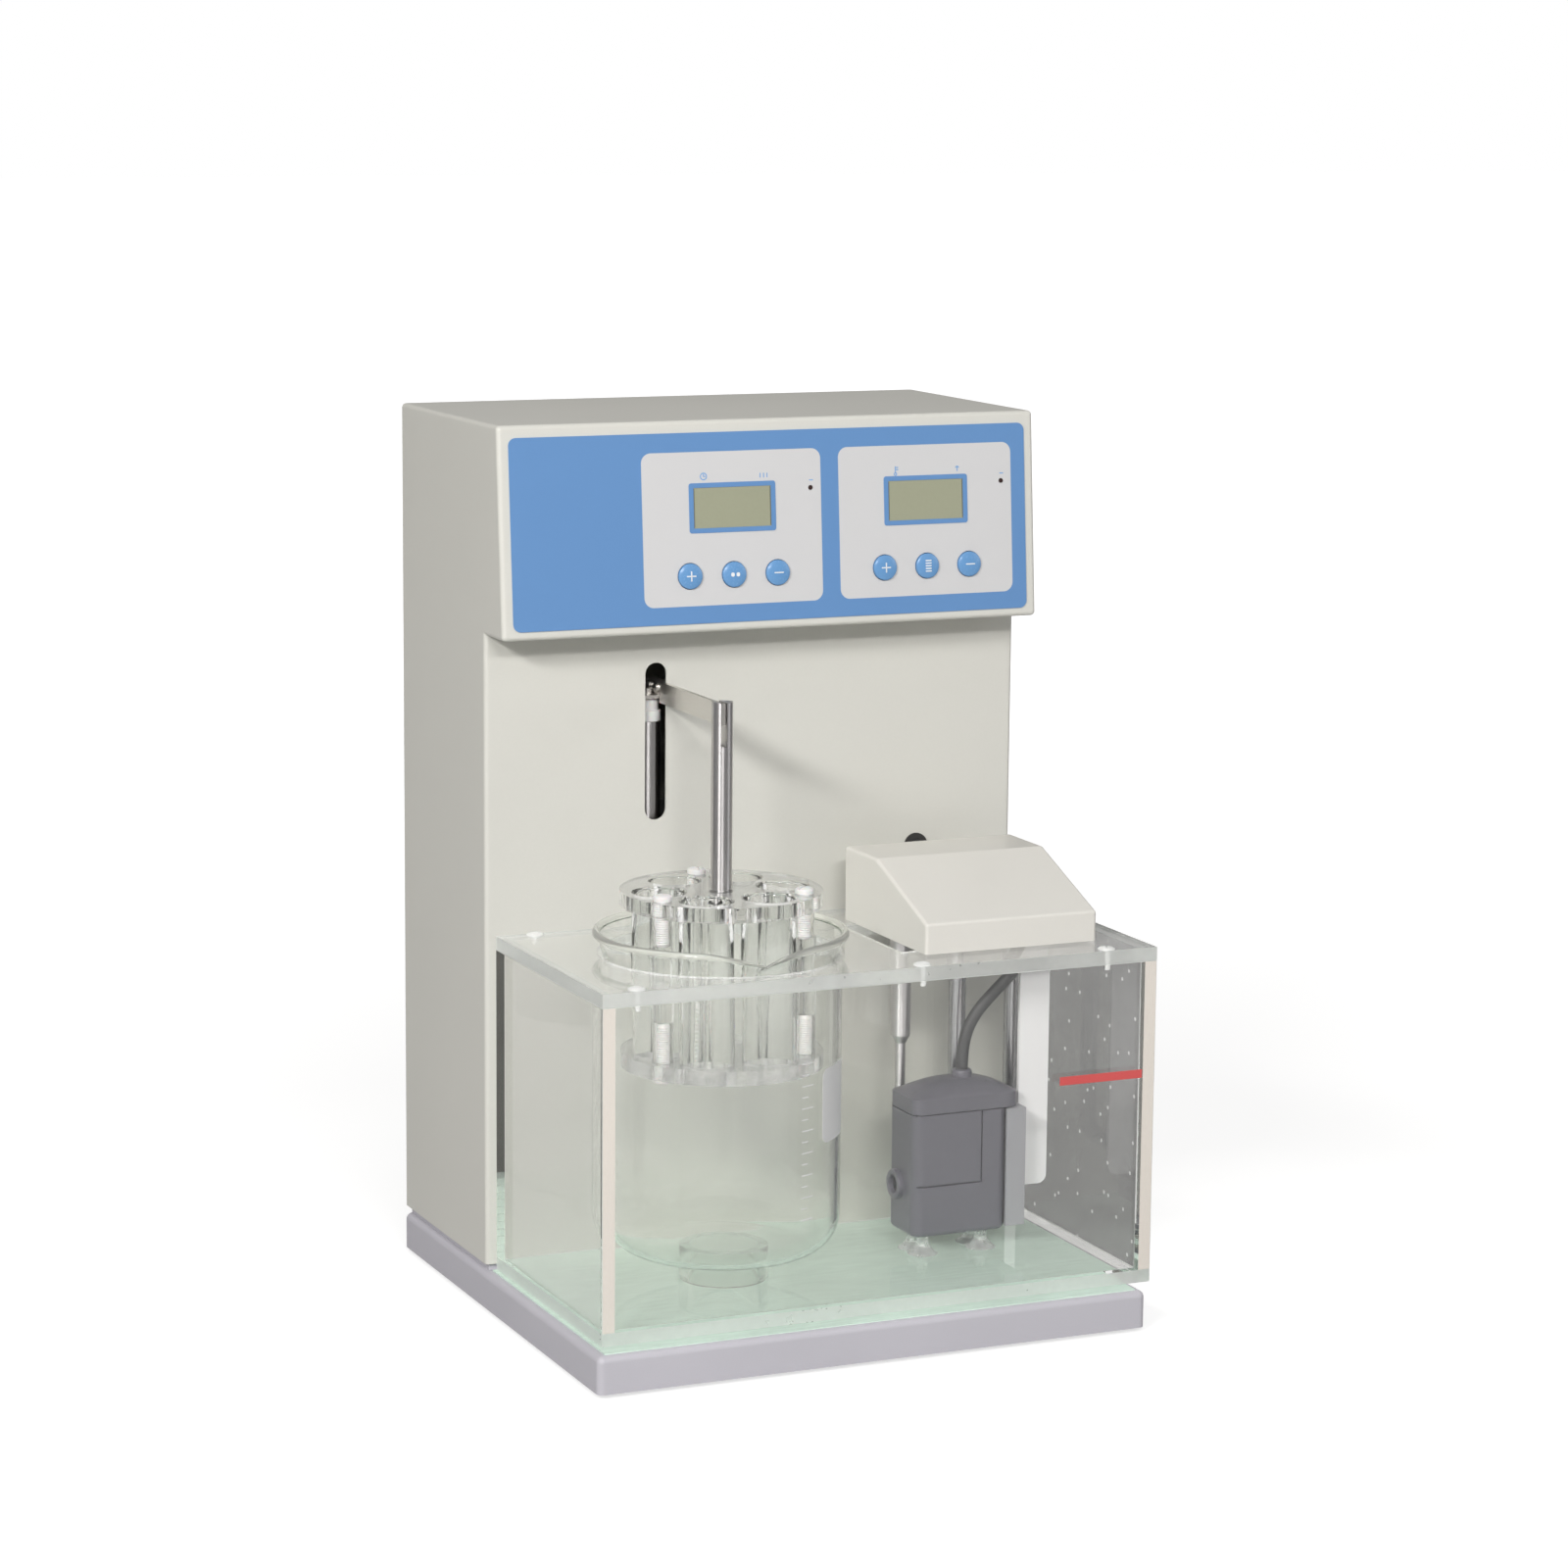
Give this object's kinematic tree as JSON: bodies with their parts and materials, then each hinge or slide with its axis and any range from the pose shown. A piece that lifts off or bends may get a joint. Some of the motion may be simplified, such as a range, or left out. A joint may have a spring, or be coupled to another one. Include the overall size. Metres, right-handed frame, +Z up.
{
  "type": "tablet disintegration tester",
  "caption": "Bench tester with a control head, a clear heated water bath and a glass tube basket that a crank raises and lowers in a beaker.",
  "frame": {"origin": "centre of the instrument's outline on the surface that it stands on", "axes": "+Z up, the front with the bath faces -Y, +X to the viewer's right"},
  "size_m": [0.272, 0.254, 0.4039],
  "materials": {
    "base_paint": "fine textured powder coat",
    "zinc_sheet": "zinc plated sheet",
    "foot_rubber": "matt",
    "spacer_metal": "turned",
    "foam_mat": "closed-cell foam",
    "housing_paint": "smooth powder coat",
    "screw_steel": "plated",
    "black_plastic": "moulded",
    "film_blue": "printed film",
    "film_grey": "printed film",
    "display": "display glass",
    "lamp": "clear lens",
    "button_blue": "moulded",
    "board": "circuit board",
    "stainless": "polished stainless",
    "nylon": "natural nylon",
    "cover_paint": "smooth cream paint",
    "clear_acrylic": "clear acrylic",
    "clear_glass": "borosilicate glass",
    "pump_grey": "moulded",
    "pump_pale": "moulded",
    "cup_rubber": "soft clear rubber",
    "lead_jacket": "PVC jacket",
    "drive_metal": "machined"
  },
  "bodies": {
    "root": {"base_tray": "base_paint", "base_plate": "zinc_sheet", "rubber_feet": "foot_rubber", "standoffs": "spacer_metal", "tank_mat": "foam_mat", "housing_shell": "housing_paint", "machine_screws": "screw_steel", "rear_cover": "housing_paint", "mains_fittings": "black_plastic", "panel_film": "film_blue", "panel_windows": "film_grey", "display_modules": "display", "indicator_lamps": "lamp", "circuit_boards": "board", "beaker_ring": "clear_acrylic", "tank_panels": "clear_acrylic", "tank_lid": "clear_acrylic", "nylon_screws": "nylon", "heater_tube": "stainless", "temperature_probe": "stainless", "guard_strip": "nylon", "carrier_plate": "clear_acrylic", "terminal_blocks": "black_plastic", "pump_body": "pump_grey", "pump_cap": "pump_grey", "pump_intake": "pump_pale", "suction_cups": "cup_rubber", "pump_lead": "lead_jacket", "trunk_lead": "lead_jacket", "lead_grommet": "foot_rubber", "transformer": "drive_metal", "drive_plate": "zinc_sheet", "shaft_guides": "nylon", "gear_motor": "drive_metal"},
    "lift": {"lift_shaft": "stainless", "shaft_collar": "nylon", "arm_bracket": "zinc_sheet", "lift_arm": "stainless", "arm_screws": "screw_steel", "yoke": "drive_metal"},
    "crank": {"crank_disc": "drive_metal", "crank_pins": "drive_metal"},
    "roller": {"crank_roller": "nylon"},
    "basket": {"suspension_rod": "stainless", "upper_disc": "clear_acrylic", "lower_disc": "clear_acrylic", "glass_tubes": "clear_glass", "basket_posts": "clear_acrylic", "basket_screws": "nylon", "basket_mesh": "stainless"},
    "beaker": {"beaker": "clear_glass"},
    "heater_cover": {"heater_cover": "cover_paint"},
    "timer_plus": {"button_timer_plus": "button_blue"},
    "timer_set": {"button_timer_set": "button_blue"},
    "timer_minus": {"button_timer_minus": "button_blue"},
    "heat_plus": {"button_heat_plus": "button_blue"},
    "heat_set": {"button_heat_set": "button_blue"},
    "heat_minus": {"button_heat_minus": "button_blue"},
    "power_rocker": {"rocker": "black_plastic"}
  },
  "joints": [
    {"name": "lift_slide", "type": "slide", "parent": "root", "child": "lift", "axis": [0, 0, 1], "range_m": [-0.0495, 0.0055]},
    {"name": "crank_turn", "type": "hinge", "parent": "root", "child": "crank", "pos_m": [-0.053, 0.041, 0.1499], "axis": [0, -1, 0], "range_deg": [-126.5, 14.5]},
    {"name": "roller_spin", "type": "hinge", "parent": "crank", "child": "roller", "pos_m": [-0.03762, 0.0347, 0.1727], "axis": [0, 1, 0], "continuous": true},
    {"name": "basket_unhook", "type": "slide", "parent": "lift", "child": "basket", "axis": [0, 0, 1], "range_m": [0, 0.007]},
    {"name": "beaker_lift", "type": "slide", "parent": "root", "child": "beaker", "axis": [0, 0, 1], "range_m": [0, 0.055]},
    {"name": "heater_cover_lift", "type": "slide", "parent": "root", "child": "heater_cover", "axis": [0, 0, 1], "range_m": [0, 0.06]},
    {"name": "timer_plus_press", "type": "slide", "parent": "root", "child": "timer_plus", "axis": [0, 0.9968, -0.0794], "range_m": [0, 0.0005], "stiffness_N_per_m": 400},
    {"name": "timer_set_press", "type": "slide", "parent": "root", "child": "timer_set", "axis": [0, 0.9968, -0.0794], "range_m": [0, 0.0005], "stiffness_N_per_m": 400},
    {"name": "timer_minus_press", "type": "slide", "parent": "root", "child": "timer_minus", "axis": [0, 0.9968, -0.0794], "range_m": [0, 0.0005], "stiffness_N_per_m": 400},
    {"name": "heat_plus_press", "type": "slide", "parent": "root", "child": "heat_plus", "axis": [0, 0.9968, -0.0794], "range_m": [0, 0.0005], "stiffness_N_per_m": 400},
    {"name": "heat_set_press", "type": "slide", "parent": "root", "child": "heat_set", "axis": [0, 0.9968, -0.0794], "range_m": [0, 0.0005], "stiffness_N_per_m": 400},
    {"name": "heat_minus_press", "type": "slide", "parent": "root", "child": "heat_minus", "axis": [0, 0.9968, -0.0794], "range_m": [0, 0.0005], "stiffness_N_per_m": 400},
    {"name": "power_switch", "type": "hinge", "parent": "root", "child": "power_rocker", "pos_m": [0.098, 0.1215, 0.0639], "axis": [1, 0, 0], "range_deg": [0, 14]}
  ],
  "couplings": [
    {"joint": "crank_turn", "follows": "lift_slide", "rad_per_m": 44.427}
  ]
}
